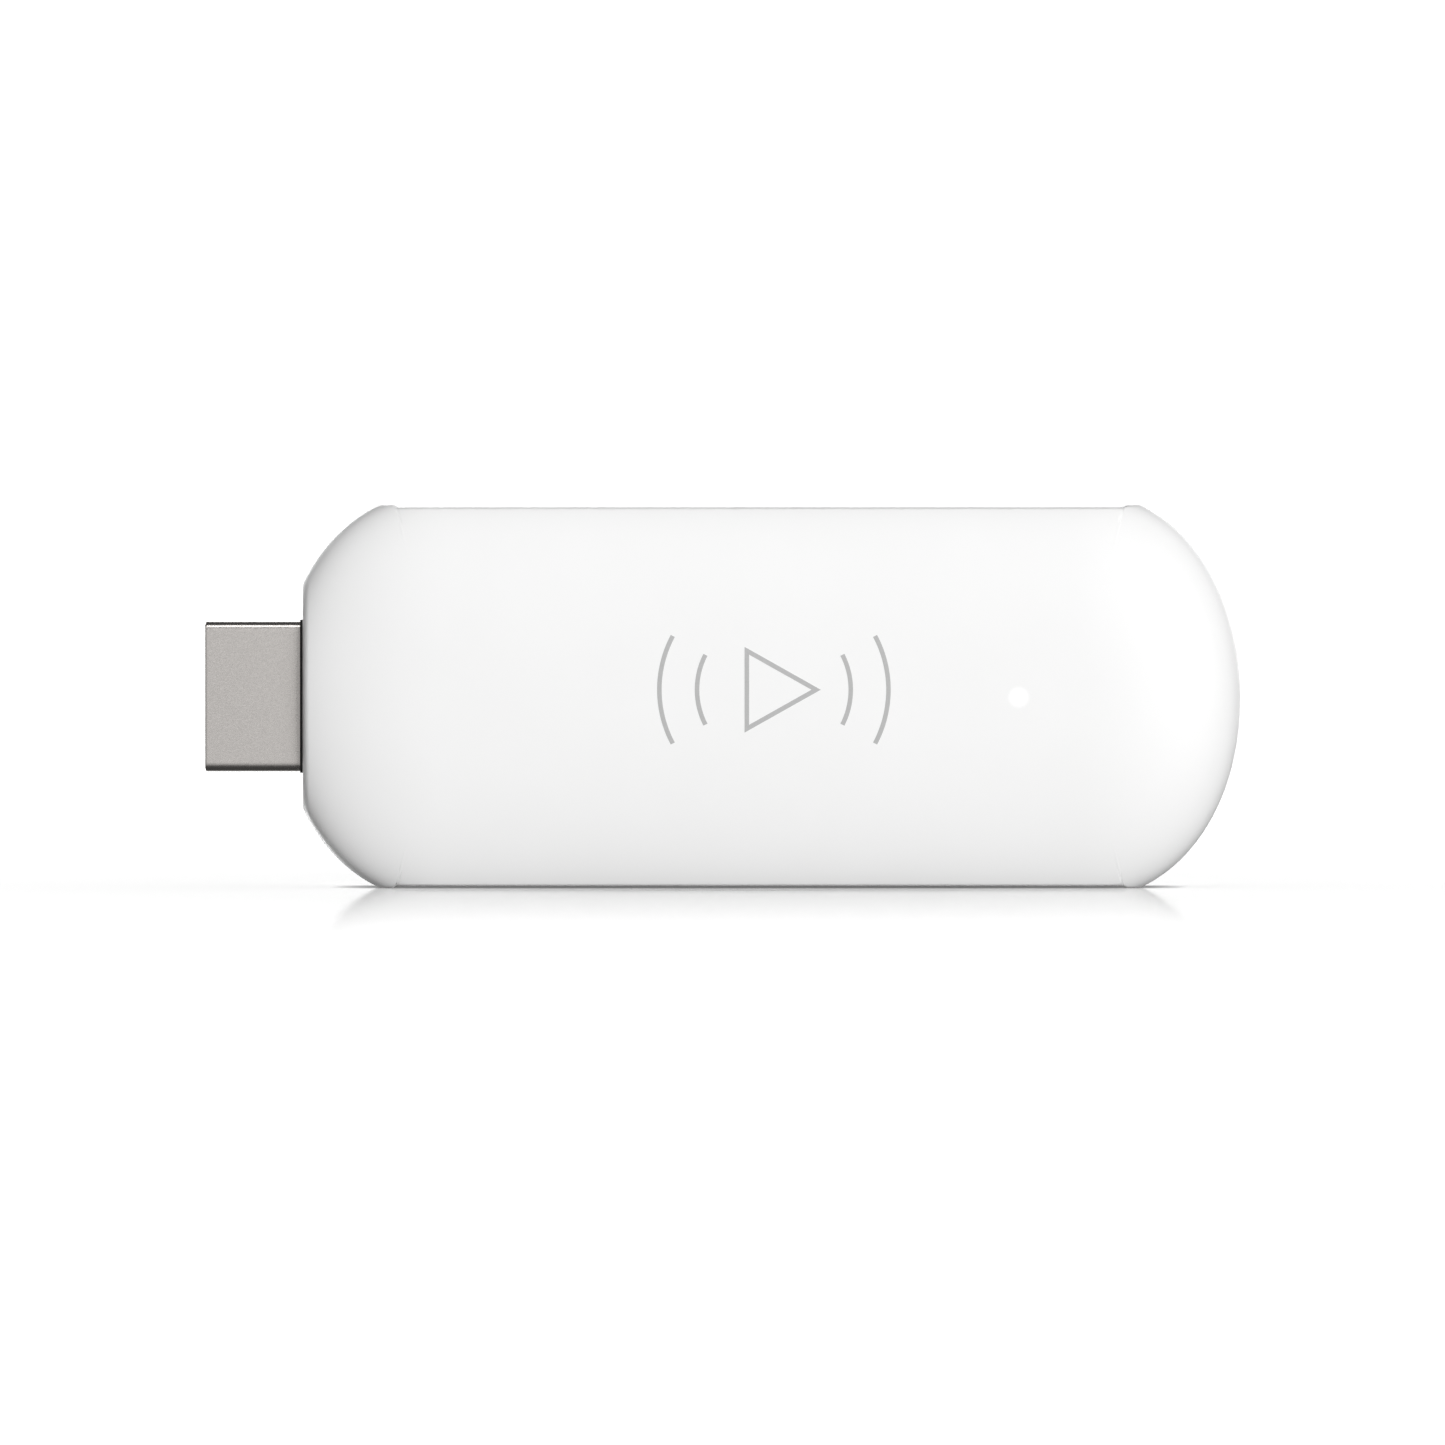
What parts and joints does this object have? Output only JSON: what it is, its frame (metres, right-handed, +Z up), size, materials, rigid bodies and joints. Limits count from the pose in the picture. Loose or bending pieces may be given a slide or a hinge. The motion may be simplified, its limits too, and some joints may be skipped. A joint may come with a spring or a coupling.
{
  "type": "streaming media stick",
  "caption": "Flat white pebble-shaped media player stick that plugs straight into a display's HDMI socket, with a micro-USB power inlet and a pushbutton on its long edge.",
  "frame": {"origin": "on the surface the stick stands on, midway along its overall length with the plug, on the middle plane between its covers", "axes": "+X from the plug towards the rounded end, +Y from the front face to the rear face, +Z up, from the resting long edge to the edge with the button and the inlet"},
  "size_m": [0.0958, 0.014, 0.0354],
  "materials": {
    "white_plastic": "satin white, very fine spark texture",
    "clear_plastic": "milky translucent light pipe",
    "nickel_plate": "satin nickel-plated steel",
    "black_plastic": "matt black, moulded",
    "gold_plate": "gold-plated copper alloy",
    "board_mask": "green solder mask over glass-fibre laminate",
    "chip_resin": "matt moulding resin",
    "tin_plate": "tin-plated sheet",
    "ferrite": "sintered ferrite",
    "ceramic": "fired ceramic",
    "phosphor": "phosphor-filled resin",
    "thermal_pad": "soft silicone pad",
    "aluminium": "rolled sheet",
    "steel": "plated screw steel"
  },
  "bodies": {
    "stick": {"front_cover": "white_plastic", "rear_cover": "white_plastic", "light_pipe": "clear_plastic", "plug_shell": "nickel_plate", "port_shell": "nickel_plate", "plug_block": "black_plastic", "plug_collar": "black_plastic", "port_tongue": "black_plastic", "plug_contact_01": "gold_plate", "plug_contact_02": "gold_plate", "plug_contact_03": "gold_plate", "plug_contact_04": "gold_plate", "plug_contact_05": "gold_plate", "plug_contact_06": "gold_plate", "plug_contact_07": "gold_plate", "plug_contact_08": "gold_plate", "plug_contact_09": "gold_plate", "plug_contact_10": "gold_plate", "plug_contact_11": "gold_plate", "plug_contact_12": "gold_plate", "plug_contact_13": "gold_plate", "plug_contact_14": "gold_plate", "plug_contact_15": "gold_plate", "plug_contact_16": "gold_plate", "plug_contact_17": "gold_plate", "plug_contact_18": "gold_plate", "plug_contact_19": "gold_plate", "port_contact_1": "gold_plate", "port_contact_2": "gold_plate", "port_contact_3": "gold_plate", "port_contact_4": "gold_plate", "port_contact_5": "gold_plate", "main_board": "board_mask", "soc_chip": "chip_resin", "memory_chip": "chip_resin", "flash_chip": "chip_resin", "power_chip": "chip_resin", "wifi_module": "tin_plate", "crystal": "tin_plate", "shield_fence": "tin_plate", "shield_lid": "tin_plate", "antenna_1": "tin_plate", "antenna_2": "tin_plate", "switch_body": "tin_plate", "inductor_1": "ferrite", "inductor_2": "ferrite", "input_capacitor": "ceramic", "led_chip": "phosphor", "chip_thermal_pad": "thermal_pad", "lid_thermal_pad": "thermal_pad", "heat_spreader": "aluminium", "board_screw_1": "steel", "board_screw_2": "steel", "board_screw_3": "steel", "board_screw_4": "steel"},
    "button": {"button_cap": "white_plastic", "switch_plunger": "black_plastic"}
  },
  "joints": [
    {"name": "button_press", "type": "slide", "parent": "stick", "child": "button", "axis": [0, 0, -1], "range_m": [0, 0.0003], "stiffness_N_per_m": 1500, "springref_m": -0.0001}
  ]
}
